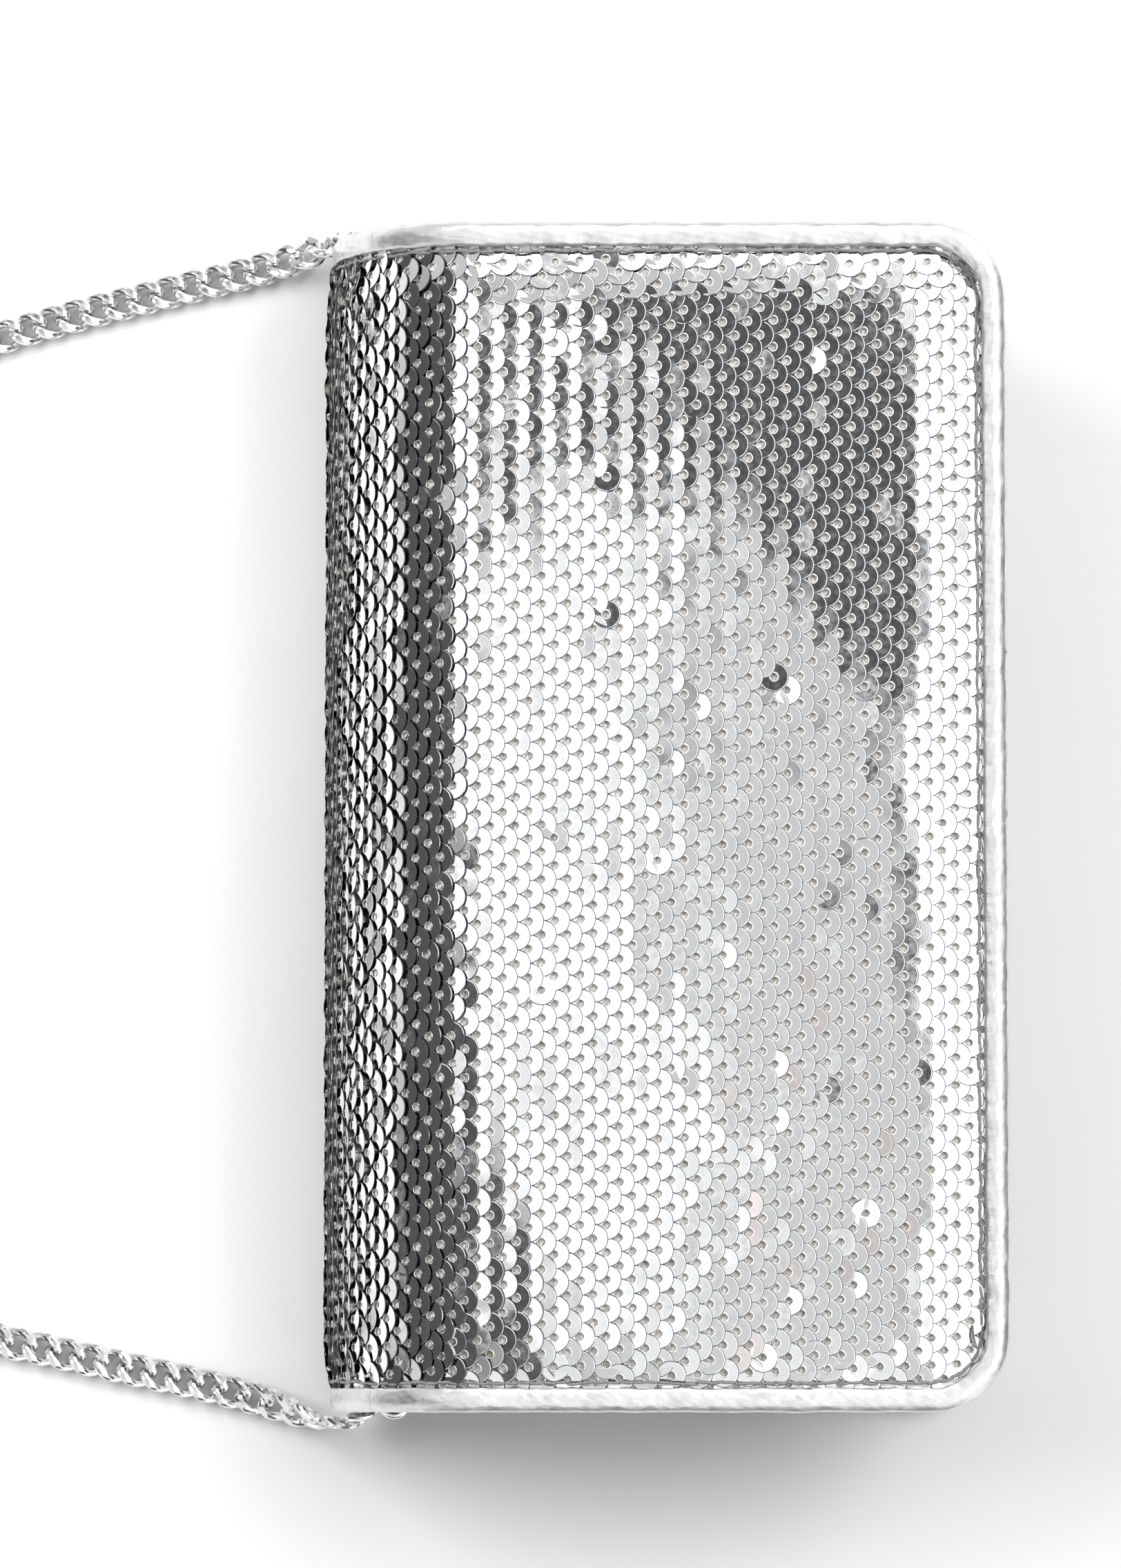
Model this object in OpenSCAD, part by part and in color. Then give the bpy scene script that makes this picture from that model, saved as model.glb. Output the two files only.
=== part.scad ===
// Evening bag with a full sequinned flap and a curb chain strap, in millimetres.
// It lies on its back: +Z is out of the flap, +X runs from the fold to the flap's free edge,
// +Y runs along the bag. Left is the -Y end and right is the +Y end, as seen from the front
// with the fold at the top. The origin is under the middle of the bag, on the surface it lies on.

/* [Bag] */
// Length of the bag along Y, over the flap's piping
bag_length = 197; // [180:1:230]
// Height of the bag along X, from the fold to the flap's free edge
bag_height = 113; // [105:1:140]
// Radius of the flap's two corners, over the piping
corner_radius = 13; // [11:0.5:18]

/* [Fold] */
// Outer radius of the upper half of the fold, which swings with the flap
fold_radius = 25; // [24:0.5:28]
// Outer radius of the lower half of the fold, which stays on the back
heel_radius = 13; // [13:0.5:15]

/* [Layers] */
// Thickness of the sequinned fabric
skin_thick = 1; // [0.8:0.1:1.2]
// Thickness of the stiffening board in the back and the flap
board_thick = 1.6; // [1.2:0.1:1.8]
// Thickness of the foam between the board and the sequinned fabric
foam_thick = 1.5; // [1.2:0.1:1.8]
// Thickness of the satin lining with its backing
lining_thick = 0.8; // [0.6:0.1:0.9]
// Thickness of the gusset strip
gusset_thick = 1.2; // [1:0.1:1.4]

/* [Piping] */
// Diameter of the piping round the flap, the fold and the back
piping_d = 4; // [3.5:0.1:4.4]
// Diameter of the cord inside that piping
piping_cord_d = 2.2; // [1.6:0.1:2.4]
// Diameter of the thinner piping round the front panel
front_piping_d = 3; // [2.4:0.1:3.2]

/* [Closure] */
// Diameter of the magnetic snap
snap_d = 17; // [12:0.5:18]
// Distance of the snap from the bag's middle towards the free edge
snap_x = 34; // [24:1:36]

/* [Chain] */
// Width of the flat curb chain
chain_width = 5.8; // [4.6:0.1:6]
// Thickness of the flat curb chain
chain_thick = 3.2; // [2.6:0.1:3.2]
// Wire diameter of the D-rings
ring_wire = 1.6; // [1.2:0.1:1.6]
// Radius of the middle of the coil's outermost turn
coil_outer = 39; // [36:1:40]
// Radius of the middle of the coil's innermost turn
coil_inner = 26; // [24:1:28]

/* [Hidden] */

$fn = 64;
eps = 0.01;

// Overall
half_length = bag_length / 2;
half_height = bag_height / 2;
bag_depth = heel_radius + fold_radius;
hinge_gap = 0.3;

// The fold: both arcs meet at the height of the back hinge
fold_cx = -half_height + fold_radius;
heel_cx = -half_height + heel_radius;
hinge_z = heel_radius;

// Flap layers, counted down from its top face
wall_thick = skin_thick + foam_thick + board_thick + lining_thick;
flap_skin_z = bag_depth - skin_thick;
flap_foam_z = flap_skin_z - foam_thick;
flap_board_z = flap_foam_z - board_thick;
flap_lining_z = flap_board_z - lining_thick;

// Piping round the flap and the fold
piping_r = piping_d / 2;
cord_r = piping_cord_d / 2;
edge_clear = 0.2;
flap_pipe_y = half_length - piping_r;
flap_pipe_x = half_height - piping_r;
flap_pipe_z = bag_depth - piping_r - 0.5;
flap_edge_y = flap_pipe_y - piping_r - edge_clear;
flap_edge_x = flap_pipe_x - piping_r - edge_clear;
flap_edge_r = corner_radius - piping_d - edge_clear;
flange_width = 5;

// Back layers, counted up from the surface
back_inset = 1;
back_pipe_y = flap_pipe_y - back_inset;
back_pipe_x = flap_pipe_x - 0.7;
back_edge_y = back_pipe_y - piping_r - edge_clear;
back_edge_x = back_pipe_x - piping_r - edge_clear;
back_edge_r = corner_radius - piping_d - edge_clear;
back_board_top = skin_thick + board_thick;
floor_z = back_board_top + lining_thick;

// Front panel layers, counted down from its top face
flap_gap = 2.3;
front_z = flap_lining_z - flap_gap;
front_skin_thick = 1;
front_board_thick = 1.4;
front_lining_thick = 0.6;
front_board_top = front_z - front_skin_thick;
front_board_z = front_board_top - front_board_thick;
roof_z = front_board_z - front_lining_thick;
front_pipe_r = front_piping_d / 2;
front_pipe_y = back_edge_y + 0.6;
front_pipe_x = back_edge_x + 1.3;
front_edge_y = front_pipe_y - front_pipe_r - 0.1;
front_edge_x = front_pipe_x - front_pipe_r - 0.1;
mouth_x = -27;
binding_width = 9;
binding_thick = 0.6;

// Gusset strip, standing between the back and the front panel
gusset_y = back_edge_y + 0.2;
gusset_x = back_edge_x + 0.6;
gusset_r = corner_radius - 1.5;
gusset_start = heel_cx + 0.2;
mouth_low_z = 9;

// Magnetic snap
snap_r = snap_d / 2;
socket_thick = 1.5;
stud_r = 2.2;
stud_hole_r = 2.7;
stem_r = 1.5;
washer_r = 9;
washer_thick = 0.6;

// Chain rings: the bar stands upright beside the gusset, and the D points to the fold
tab_fold_r = 1.8;
bar_x = -38;
bar_y = gusset_y + tab_fold_r;
ring_z = 10.5;
ring_r = ring_wire / 2;
bar_half = 4.2;
ring_leg = 2.5;
ring_rest_angle = 12;
bar_clear = 0.05;
tab_half = 3.15;
tab_thick = 2.4;
tab_length = 12;
rivet_x = -30;
rivet_r = 1.2;
rivet_head_r = 2.4;
rivet_head = 1;
end_link_mid = 2.2;
end_link_r = 0.7;
end_link_at = ring_leg + bar_half + 0.6;

// Chain coil
coil_x = -158;
coil_layers = 2;

// Route of the right run: x, y, z and the twist of the chain's flat side
right_route = [
  [-49, 97.8, 10.5, 90], [-51.5, 99.4, 9.4, 90], [-55, 99.8, 6.8, 75], [-58.5, 98.9, 4.3, 40],
  [-62, 97.8, 2.8, 15], [-66, 96.6, 2, 5], [-71, 95.2, 1.7, 0], [-78, 93.5, 1.6, 0],
  [-86, 91.5, 1.6, 0], [-96, 89, 1.6, 0], [-105, 86.5, 1.6, 0], [-113, 84, 1.6, 0],
  [-121, 80, 1.6, 0], [-128, 74, 1.6, 0], [-134, 66, 1.6, 0], [-140, 56, 1.6, 0],
  [-146, 47.5, 1.6, 0], [-152, 41.5, 1.6, 0], [-158, 39, 1.6, 0]];

// Route of the left run, which climbs onto the coil's upper turns
left_route = [
  [-49, -97.8, 10.5, -90], [-51.5, -99.5, 9.4, -90], [-55, -100, 7.6, -85], [-59, -99.5, 5.4, -65],
  [-63, -98.2, 3.7, -40], [-68, -96.4, 2.4, -20], [-75, -94.5, 1.8, -5], [-82, -92.9, 1.6, 0],
  [-89, -91.4, 1.6, 0], [-97, -89.6, 1.6, 0], [-105, -87.8, 1.6, 0], [-113, -86, 1.6, 0],
  [-121, -82, 1.6, 0], [-128, -76, 1.6, 0], [-134, -68, 1.6, 0], [-140, -58, 1.8, 0],
  [-146, -48.5, 2.8, 0], [-152, -42, 4.2, 0], [-158, -39, 4.8, 0]];

// ---- shared shapes ----

// Extrudes a side profile, drawn in X and Z, along Y
module along_y(length) {
  rotate([90, 0, 0])
    linear_extrude(length, center = true)
      children();
}

// Quarter of a ring in the side profile: up is 1 for the fold and -1 for the heel
module quarter(cx, inner, outer, up) {
  translate([cx, hinge_z])
    intersection() {
      difference() {
        circle(outer);
        circle(inner);
      }
      translate([-outer - 1, up > 0 ? hinge_gap / 2 : -outer - 1])
        square([outer + 1 - hinge_gap / 2, outer + 1 - hinge_gap / 2]);
    }
}

// Plan of a panel whose two corners at the free edge are round
module plan(x0, x1, half, r) {
  translate([x0, -half])
    square([x1 - r - x0, 2 * half]);
  translate([x0, r - half])
    square([x1 - x0, 2 * (half - r)]);
  for (side = [-1, 1])
    translate([x1 - r, side * (half - r)])
      circle(r);
}

// Plate with that plan
module plate(x0, x1, half, r, z0, z1) {
  translate([0, 0, z0])
    linear_extrude(z1 - z0)
      plan(x0, x1, half, r);
}

// Round bar from x0 along both ends of the bag and round the free edge
module edge_bar(x0, x1, half, bend, r, z) {
  translate([0, 0, z]) {
    for (side = [-1, 1]) {
      translate([x0, side * half, 0])
        rotate([0, 90, 0])
          cylinder(r = r, h = x1 - bend - x0);
      translate([x1 - bend, side * (half - bend), 0])
        rotate([0, 0, side > 0 ? 0 : -90])
          rotate_extrude(angle = 90)
            translate([bend, 0])
              circle(r);
    }
    translate([x1, bend - half, 0])
      rotate([-90, 0, 0])
        cylinder(r = r, h = 2 * (half - bend));
  }
}

// Quarter turn of round bar in the side plane, at both ends of the bag
module fold_bar(cx, bend, half, r, up) {
  gap_angle = asin(hinge_gap / 2 / bend);
  for (side = [-1, 1])
    translate([cx, side * half, hinge_z])
      rotate([90, 0, 0])
        rotate([0, 0, up > 0 ? 90 + gap_angle : 180 + gap_angle])
          rotate_extrude(angle = 90 - 2 * gap_angle)
            translate([bend, 0])
              circle(r);
}

// Sewing flange of a piping: a flat border round the panel
module flange(x0, x1, half, r, z0, z1) {
  difference() {
    plate(x0, x1, half, r, z0, z1);
    plate(x0 - 1, x1 - flange_width, half - flange_width, r - flange_width / 2, z0 - 1, z1 + 1);
  }
}

// What the mouth cuts from the gusset and the lining, seen from the side
module mouth_cut() {
  along_y(bag_length + 10)
    polygon([[-90, mouth_low_z], [gusset_start, mouth_low_z], [mouth_x, roof_z],
             [mouth_x, 90], [-90, 90]]);
}

// Rivet hole at the right end
module rivet_bore() {
  translate([rivet_x, gusset_y - 4, ring_z])
    rotate([-90, 0, 0])
      cylinder(r = rivet_r, h = 10);
}

// ---- the bag's own body ----

module back_skin() color([0.86, 0.87, 0.88]) {
  plate(heel_cx, back_edge_x, back_edge_y, back_edge_r, 0, skin_thick);
  along_y(2 * back_edge_y)
    quarter(heel_cx, heel_radius - skin_thick, heel_radius, -1);
  along_y(2 * back_edge_y)
    translate([heel_cx - hinge_gap, 0])
      square([2 * hinge_gap, skin_thick]);
}

module back_board() color([0.55, 0.5, 0.42])
  plate(heel_cx, back_edge_x, back_edge_y, back_edge_r, skin_thick, back_board_top);

module heel_foam() color([0.93, 0.93, 0.9])
  along_y(2 * back_edge_y)
    quarter(heel_cx, heel_radius - wall_thick + lining_thick, heel_radius - skin_thick, -1);

module heel_lining() color([0.72, 0.71, 0.69])
  along_y(2 * back_edge_y)
    quarter(heel_cx, heel_radius - wall_thick, heel_radius - wall_thick + lining_thick, -1);

module back_pipe_solid(r) {
  edge_bar(heel_cx, back_pipe_x, back_pipe_y, corner_radius - piping_r, r, piping_r);
  fold_bar(heel_cx, heel_radius - piping_r, back_pipe_y, r, -1);
}

module back_piping() color([0.8, 0.8, 0.81])
  difference() {
    union() {
      back_pipe_solid(piping_r);
      flange(heel_cx, back_pipe_x, back_pipe_y, corner_radius - piping_r, back_board_top, floor_z);
    }
    back_pipe_solid(cord_r);
  }

module back_piping_cord() color([0.95, 0.95, 0.93])
  back_pipe_solid(cord_r);

module gusset_band() color([0.78, 0.78, 0.79])
  difference() {
    plate(gusset_start, gusset_x, gusset_y, gusset_r, floor_z, roof_z);
    plate(gusset_start - 1, gusset_x - gusset_thick, gusset_y - gusset_thick,
          gusset_r - gusset_thick, floor_z - 1, roof_z + 1);
    mouth_cut();
    rivet_bore();
    mirror([0, 1, 0])
      rivet_bore();
  }

module lining() color([0.72, 0.71, 0.69]) {
  wall_y = gusset_y - gusset_thick;
  wall_x = gusset_x - gusset_thick;
  inset = flange_width + 0.2;
  difference() {
    plate(gusset_start, wall_x, wall_y, gusset_r - gusset_thick, floor_z, roof_z);
    plate(gusset_start - 1, wall_x - lining_thick, wall_y - lining_thick,
          gusset_r - gusset_thick - lining_thick, floor_z - 1, roof_z + 1);
    mouth_cut();
    rivet_bore();
    mirror([0, 1, 0])
      rivet_bore();
  }
  plate(heel_cx, back_pipe_x - inset, back_pipe_y - inset,
        corner_radius - piping_r - flange_width / 2, back_board_top, floor_z);
  plate(mouth_x, front_pipe_x - inset, front_pipe_y - inset, gusset_r - flange_width / 2,
        roof_z, front_board_z);
}

module slip_pocket() color([0.76, 0.75, 0.73])
  plate(-8, 44, 62, 6, floor_z, floor_z + lining_thick);

module front_panel() color([0.8, 0.8, 0.81])
  difference() {
    plate(mouth_x, front_edge_x, front_edge_y, gusset_r - front_pipe_r, front_board_top, front_z);
    translate([snap_x, 0, front_board_top - 1])
      cylinder(r = stem_r, h = 3);
  }

module front_board() color([0.55, 0.5, 0.42])
  difference() {
    plate(mouth_x, front_edge_x, front_edge_y, gusset_r - front_pipe_r, front_board_z,
          front_board_top);
    translate([snap_x, 0, front_board_z - 1])
      cylinder(r = stem_r, h = 4);
    translate([snap_x, 0, front_board_z - 1])
      cylinder(r = washer_r, h = 1 + washer_thick);
  }

module front_piping() color([0.8, 0.8, 0.81]) {
  edge_bar(mouth_x, front_pipe_x, front_pipe_y, gusset_r, front_pipe_r, front_z - front_pipe_r);
  flange(mouth_x, front_pipe_x, front_pipe_y, gusset_r, roof_z, front_board_z);
}

// Leather folded over the front panel's edge at the mouth
module mouth_binding() color([0.82, 0.82, 0.83])
  along_y(2 * (gusset_y - gusset_thick - lining_thick - 0.1))
    difference() {
      translate([mouth_x - binding_thick, roof_z - binding_thick])
        square([binding_width, front_z - roof_z + 2 * binding_thick]);
      translate([mouth_x, roof_z])
        square([binding_width, front_z - roof_z]);
    }

module snap_socket() color([0.75, 0.76, 0.78])
  difference() {
    union() {
      translate([snap_x, 0, front_z])
        cylinder(r = snap_r, h = socket_thick);
      translate([snap_x, 0, front_board_z + washer_thick])
        cylinder(r = stem_r, h = front_z - front_board_z - washer_thick + eps);
    }
    translate([snap_x, 0, front_z + 0.2])
      cylinder(r = stud_hole_r, h = socket_thick);
  }

module socket_washer() color([0.7, 0.7, 0.72])
  translate([snap_x, 0, front_board_z])
    cylinder(r = washer_r - 0.1, h = washer_thick);

// ---- chain tabs and rings: made at the right end and mirrored for the left ----

module tab() {
  difference() {
    union() {
      translate([bar_x, gusset_y, ring_z - tab_half])
        cube([tab_length, tab_thick, 2 * tab_half]);
      translate([bar_x, bar_y, ring_z - tab_half])
        cylinder(r = tab_fold_r, h = 2 * tab_half);
    }
    translate([bar_x, bar_y, 0])
      cylinder(r = ring_r + bar_clear, h = 30);
    rivet_bore();
  }
}

module right_tab() color([0.8, 0.8, 0.81])
  tab();

module left_tab() color([0.8, 0.8, 0.81])
  mirror([0, 1, 0])
    tab();

module tab_rivets() color([0.75, 0.76, 0.78])
  for (side = [0, 1])
    mirror([0, side, 0])
      translate([rivet_x, gusset_y - gusset_thick - lining_thick, ring_z])
        rotate([-90, 0, 0]) {
          translate([0, 0, -rivet_head])
            cylinder(r = rivet_head_r - 0.4, h = rivet_head);
          cylinder(r = rivet_r, h = gusset_thick + lining_thick + tab_thick);
          translate([0, 0, gusset_thick + lining_thick + tab_thick])
            cylinder(r = rivet_head_r, h = rivet_head);
        }

// Places a shape on the right bar, turned out from the gusset by the resting angle
module on_bar() {
  translate([bar_x, bar_y, ring_z])
    rotate([0, 0, -ring_rest_angle])
      children();
}

module d_ring() {
  on_bar() {
    translate([0, 0, -bar_half])
      cylinder(r = ring_r, h = 2 * bar_half);
    for (side = [-1, 1]) {
      translate([0, 0, side * bar_half])
        sphere(r = ring_r);
      translate([-ring_leg, 0, side * bar_half])
        rotate([0, 90, 0])
          cylinder(r = ring_r, h = ring_leg);
    }
    translate([-ring_leg, 0, 0])
      rotate([90, 0, 0])
        rotate([0, 0, 90])
          rotate_extrude(angle = 180)
            translate([bar_half, 0])
              circle(ring_r);
  }
}

module right_ring() color([0.78, 0.79, 0.81])
  d_ring();

module left_ring() color([0.78, 0.79, 0.81])
  mirror([0, 1, 0])
    d_ring();

module end_link() {
  on_bar()
    translate([-end_link_at, 0, 0])
      rotate_extrude()
        translate([end_link_mid, 0])
          circle(end_link_r);
}

module right_end_link() color([0.78, 0.79, 0.81])
  end_link();

module left_end_link() color([0.78, 0.79, 0.81])
  mirror([0, 1, 0])
    end_link();

// ---- the fold ----

module fold_skin() color([0.86, 0.87, 0.88])
  along_y(2 * flap_edge_y)
    quarter(fold_cx, fold_radius - skin_thick, fold_radius, 1);

module fold_foam() color([0.93, 0.93, 0.9])
  along_y(2 * flap_edge_y)
    quarter(fold_cx, fold_radius - wall_thick + lining_thick, fold_radius - skin_thick, 1);

module fold_lining() color([0.72, 0.71, 0.69])
  along_y(2 * flap_edge_y)
    quarter(fold_cx, fold_radius - wall_thick, fold_radius - wall_thick + lining_thick, 1);

module fold_piping() color([0.8, 0.8, 0.81])
  difference() {
    fold_bar(fold_cx, fold_radius - piping_r, flap_pipe_y, piping_r, 1);
    fold_bar(fold_cx, fold_radius - piping_r, flap_pipe_y, cord_r, 1);
  }

module fold_piping_cord() color([0.95, 0.95, 0.93])
  fold_bar(fold_cx, fold_radius - piping_r, flap_pipe_y, cord_r, 1);

// ---- the flap ----

flap_start = fold_cx + hinge_gap / 2;

module flap_skin() color([0.86, 0.87, 0.88])
  plate(flap_start, flap_edge_x, flap_edge_y, flap_edge_r, flap_skin_z, bag_depth);

module flap_foam() color([0.93, 0.93, 0.9])
  plate(flap_start, flap_edge_x, flap_edge_y, flap_edge_r, flap_foam_z, flap_skin_z);

module flap_board() color([0.55, 0.5, 0.42])
  difference() {
    plate(flap_start, flap_edge_x - flange_width, flap_edge_y - flange_width,
          flap_edge_r - flange_width / 2, flap_board_z, flap_foam_z);
    translate([snap_x, 0, flap_board_z - 1])
      cylinder(r = washer_r, h = 1 + washer_thick);
  }

module flap_lining() color([0.72, 0.71, 0.69])
  difference() {
    plate(flap_start, flap_edge_x, flap_edge_y, flap_edge_r, flap_lining_z, flap_board_z);
    translate([snap_x, 0, flap_lining_z - 1])
      cylinder(r = stem_r, h = 4);
  }

module flap_pipe_solid(r) {
  edge_bar(flap_start, flap_pipe_x, flap_pipe_y, corner_radius - piping_r, r, flap_pipe_z);
}

module flap_piping() color([0.8, 0.8, 0.81])
  difference() {
    union() {
      flap_pipe_solid(piping_r);
      difference() {
        plate(flap_start, flap_pipe_x, flap_pipe_y, corner_radius - piping_r, flap_board_z,
              flap_foam_z);
        plate(flap_start - 1, flap_edge_x - flange_width, flap_edge_y - flange_width,
              flap_edge_r - flange_width / 2, flap_board_z - 1, flap_foam_z + 1);
      }
    }
    flap_pipe_solid(cord_r);
  }

module flap_piping_cord() color([0.95, 0.95, 0.93])
  flap_pipe_solid(cord_r);

module snap_stud() color([0.75, 0.76, 0.78])
  translate([snap_x, 0, 0]) {
    translate([0, 0, flap_lining_z - 0.7])
      cylinder(r = snap_r, h = 0.7);
    translate([0, 0, flap_lining_z - 1.8])
      cylinder(r = stud_r, h = 1.2);
    translate([0, 0, flap_lining_z - eps])
      cylinder(r = stem_r, h = lining_thick + eps);
  }

module stud_washer() color([0.7, 0.7, 0.72])
  translate([snap_x, 0, flap_board_z])
    cylinder(r = washer_r - 0.1, h = washer_thick);

// ---- the chain ----

function xyz(p) = [p[0], p[1], p[2]];
function unit(v) = v / norm(v);
function heading(route, i) =
  unit(xyz(route[min(i + 1, len(route) - 1)]) - xyz(route[max(i - 1, 0)]));

// One point of the chain's flat oval section at route point i
function section_point(route, i, a) =
  let (
    t = heading(route, i),
    side = unit(cross([0, 0, 1], t)),
    up = cross(t, side),
    twist = route[i][3],
    wide = side * cos(twist) + up * sin(twist),
    thin = up * cos(twist) - side * sin(twist)
  )
  xyz(route[i]) + wide * (chain_width / 2 * cos(a)) + thin * (chain_thick / 2 * sin(a));

// Flat tube along a route, one ring of corners at each route point
module chain_tube(route) {
  sides = 8;
  rings = len(route);
  points = [for (i = [0 : rings - 1]) for (k = [0 : sides - 1])
            section_point(route, i, 360 / sides * k)];
  walls = [for (i = [0 : rings - 2]) for (k = [0 : sides - 1])
           let (a = i * sides + k, b = i * sides + (k + 1) % sides)
           each [[a, a + sides, b + sides], [a, b + sides, b]]];
  first = [for (k = [0 : sides - 1]) k];
  last = [for (k = [0 : sides - 1]) rings * sides - 1 - k];
  polyhedron(points, concat(walls, [first, last]), convexity = 6);
}

module right_chain_run() color([0.75, 0.76, 0.78])
  chain_tube(right_route);

module left_chain_run() color([0.75, 0.76, 0.78])
  chain_tube(left_route);

module chain_coil() color([0.75, 0.76, 0.78])
  translate([coil_x, 0, 0])
    rotate_extrude()
      translate([coil_inner - chain_width / 2, 0])
        square([coil_outer - coil_inner + chain_width, coil_layers * chain_thick]);

back_skin();
back_board();
heel_foam();
heel_lining();
back_piping();
back_piping_cord();
gusset_band();
lining();
slip_pocket();
front_panel();
front_board();
front_piping();
mouth_binding();
snap_socket();
socket_washer();
right_tab();
left_tab();
tab_rivets();
right_ring();
left_ring();
right_end_link();
left_end_link();
fold_skin();
fold_foam();
fold_lining();
fold_piping();
fold_piping_cord();
flap_skin();
flap_foam();
flap_board();
flap_lining();
flap_piping();
flap_piping_cord();
snap_stud();
stud_washer();
right_chain_run();
chain_coil();
left_chain_run();
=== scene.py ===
"""The evening bag's looks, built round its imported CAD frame.

Lengths are in millimetres and turn into metres where a mesh is made. The bag lies on its back: +Z is out of
the flap, +X runs from the fold to the flap's free edge, +Y along the bag. s is the length measured round the
fold on the sequins' middle surface: 0 where the flap meets the fold, plus on the flap, minus round the fold.
"""

import math

import bpy
import numpy as np
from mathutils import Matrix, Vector


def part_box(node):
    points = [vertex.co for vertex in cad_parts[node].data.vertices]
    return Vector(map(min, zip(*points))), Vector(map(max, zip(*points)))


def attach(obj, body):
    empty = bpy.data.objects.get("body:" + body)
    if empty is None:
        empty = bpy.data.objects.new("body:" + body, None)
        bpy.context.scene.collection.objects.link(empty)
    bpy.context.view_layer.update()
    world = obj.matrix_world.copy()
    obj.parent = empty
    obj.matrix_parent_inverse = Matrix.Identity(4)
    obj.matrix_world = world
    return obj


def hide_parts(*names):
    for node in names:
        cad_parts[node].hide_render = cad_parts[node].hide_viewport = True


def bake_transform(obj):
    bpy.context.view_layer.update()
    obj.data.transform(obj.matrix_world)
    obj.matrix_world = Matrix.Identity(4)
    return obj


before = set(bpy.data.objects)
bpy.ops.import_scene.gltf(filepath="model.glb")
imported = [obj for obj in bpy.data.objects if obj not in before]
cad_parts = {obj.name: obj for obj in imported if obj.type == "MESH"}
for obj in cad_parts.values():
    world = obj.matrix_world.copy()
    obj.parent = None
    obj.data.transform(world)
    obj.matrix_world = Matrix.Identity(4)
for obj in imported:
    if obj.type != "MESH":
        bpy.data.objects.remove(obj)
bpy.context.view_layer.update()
MM = 0.001
rng = np.random.default_rng(7)

# ---- sizes taken from the frame ----


def cad_mm(node):
    """The low and high corners of a CAD node's box, in mm."""
    low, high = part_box(node)
    return np.array(low) / MM, np.array(high) / MM


flap_high = cad_mm("flap_skin")[1]
pipe_high = cad_mm("flap_piping")[1]
back_high = cad_mm("back_skin")[1]
back_pipe_high = cad_mm("back_piping")[1]
fold_low = cad_mm("fold_skin")[0]
gusset_low, gusset_high = cad_mm("gusset_band")
panel_low, panel_high = cad_mm("front_panel")
front_pipe_high = cad_mm("front_piping")[1]

DEPTH = flap_high[2]
HINGE_Z = 13.0  # height of the lower of the fold's two hinges
FOLD_X = fold_low[0] + (DEPTH - HINGE_Z)
HEEL_X = fold_low[0] + HINGE_Z
PIPE_R = 2.0
PIPE_Y = pipe_high[1] - PIPE_R
PIPE_X = pipe_high[0] - PIPE_R
PIPE_Z = pipe_high[2] - PIPE_R
PIPE_BEND = 11.0  # radius of the piping's centre line round a corner
BACK_PIPE_Y = PIPE_Y - 1.0
BACK_PIPE_X = back_pipe_high[0] - PIPE_R
EDGE_Y = flap_high[1]
EDGE_X = flap_high[0]
EDGE_R = 8.8  # radius of the sequinned skin's corners
BACK_EDGE_Y = back_high[1]
BACK_EDGE_X = back_high[0]

# ---- camera ----


def make_camera():
    """Looks almost straight down, from above the lower end of the bag, tilted towards its middle."""
    height, foot, tilt, lens = 1.236, (-0.0173, -0.0944), math.radians(4.73), 167.5
    data = bpy.data.cameras.new("camera")
    data.lens = lens
    data.clip_start, data.clip_end = 0.05, 50
    camera = bpy.data.objects.new("camera", data)
    camera.location = (foot[0], foot[1], height)
    camera.rotation_euler = (tilt, 0, 0)
    bpy.context.scene.collection.objects.link(camera)
    bpy.context.scene.camera = camera


make_camera()

# ---- mesh helpers ----


def mesh_object(name, points, faces, smooth=True, crisp=None):
    """A mesh object from points in mm and one array of faces, with edges over crisp degrees kept sharp."""
    points, faces = np.asarray(points, float) * MM, np.asarray(faces, np.int32)
    corners = faces.shape[1]
    mesh = bpy.data.meshes.new(name)
    mesh.vertices.add(len(points))
    mesh.vertices.foreach_set("co", points.astype(np.float32).ravel())
    mesh.loops.add(faces.size)
    mesh.loops.foreach_set("vertex_index", faces.ravel())
    mesh.polygons.add(len(faces))
    mesh.polygons.foreach_set("loop_start", np.arange(0, faces.size, corners, dtype=np.int32))
    mesh.update(calc_edges=True)
    mesh.polygons.foreach_set("use_smooth", np.full(len(faces), smooth))
    mesh.validate()
    if crisp:
        mesh.set_sharp_from_angle(angle=math.radians(crisp))
    piece = bpy.data.objects.new(name, mesh)
    bpy.context.scene.collection.objects.link(piece)
    return piece


def tube_faces(rings, sides, closed=False):
    """Quads of a tube with that many rings, and of a closed loop of rings."""
    i = np.arange(rings if closed else rings - 1)[:, None]
    k = np.arange(sides)[None, :]
    here, ahead, beside = i * sides, ((i + 1) % rings) * sides, (k + 1) % sides
    return np.stack([here + k, ahead + k, ahead + beside, here + beside], -1).reshape(-1, 4)


def copies(faces, count, per):
    """The faces of count equal pieces that have per points each."""
    return (faces[None] + (np.arange(count) * per)[:, None, None]).reshape(-1, 4)


def shell_faces(rows, cols):
    """Quads of a closed sheet: a grid of points, the same grid under it and the rim between them."""
    count = rows * cols
    index = np.arange(count).reshape(rows, cols)
    upper = np.stack([index[:-1, :-1], index[1:, :-1], index[1:, 1:], index[:-1, 1:]], -1).reshape(-1, 4)
    rim = np.concatenate([index[0, :], index[1:, -1], index[-1, -2::-1], index[-2:0:-1, 0]])
    after = np.roll(rim, -1)
    sides = np.stack([rim, after, after + count, rim + count], -1)
    return np.vstack([upper, upper[:, ::-1] + count, sides])


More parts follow.
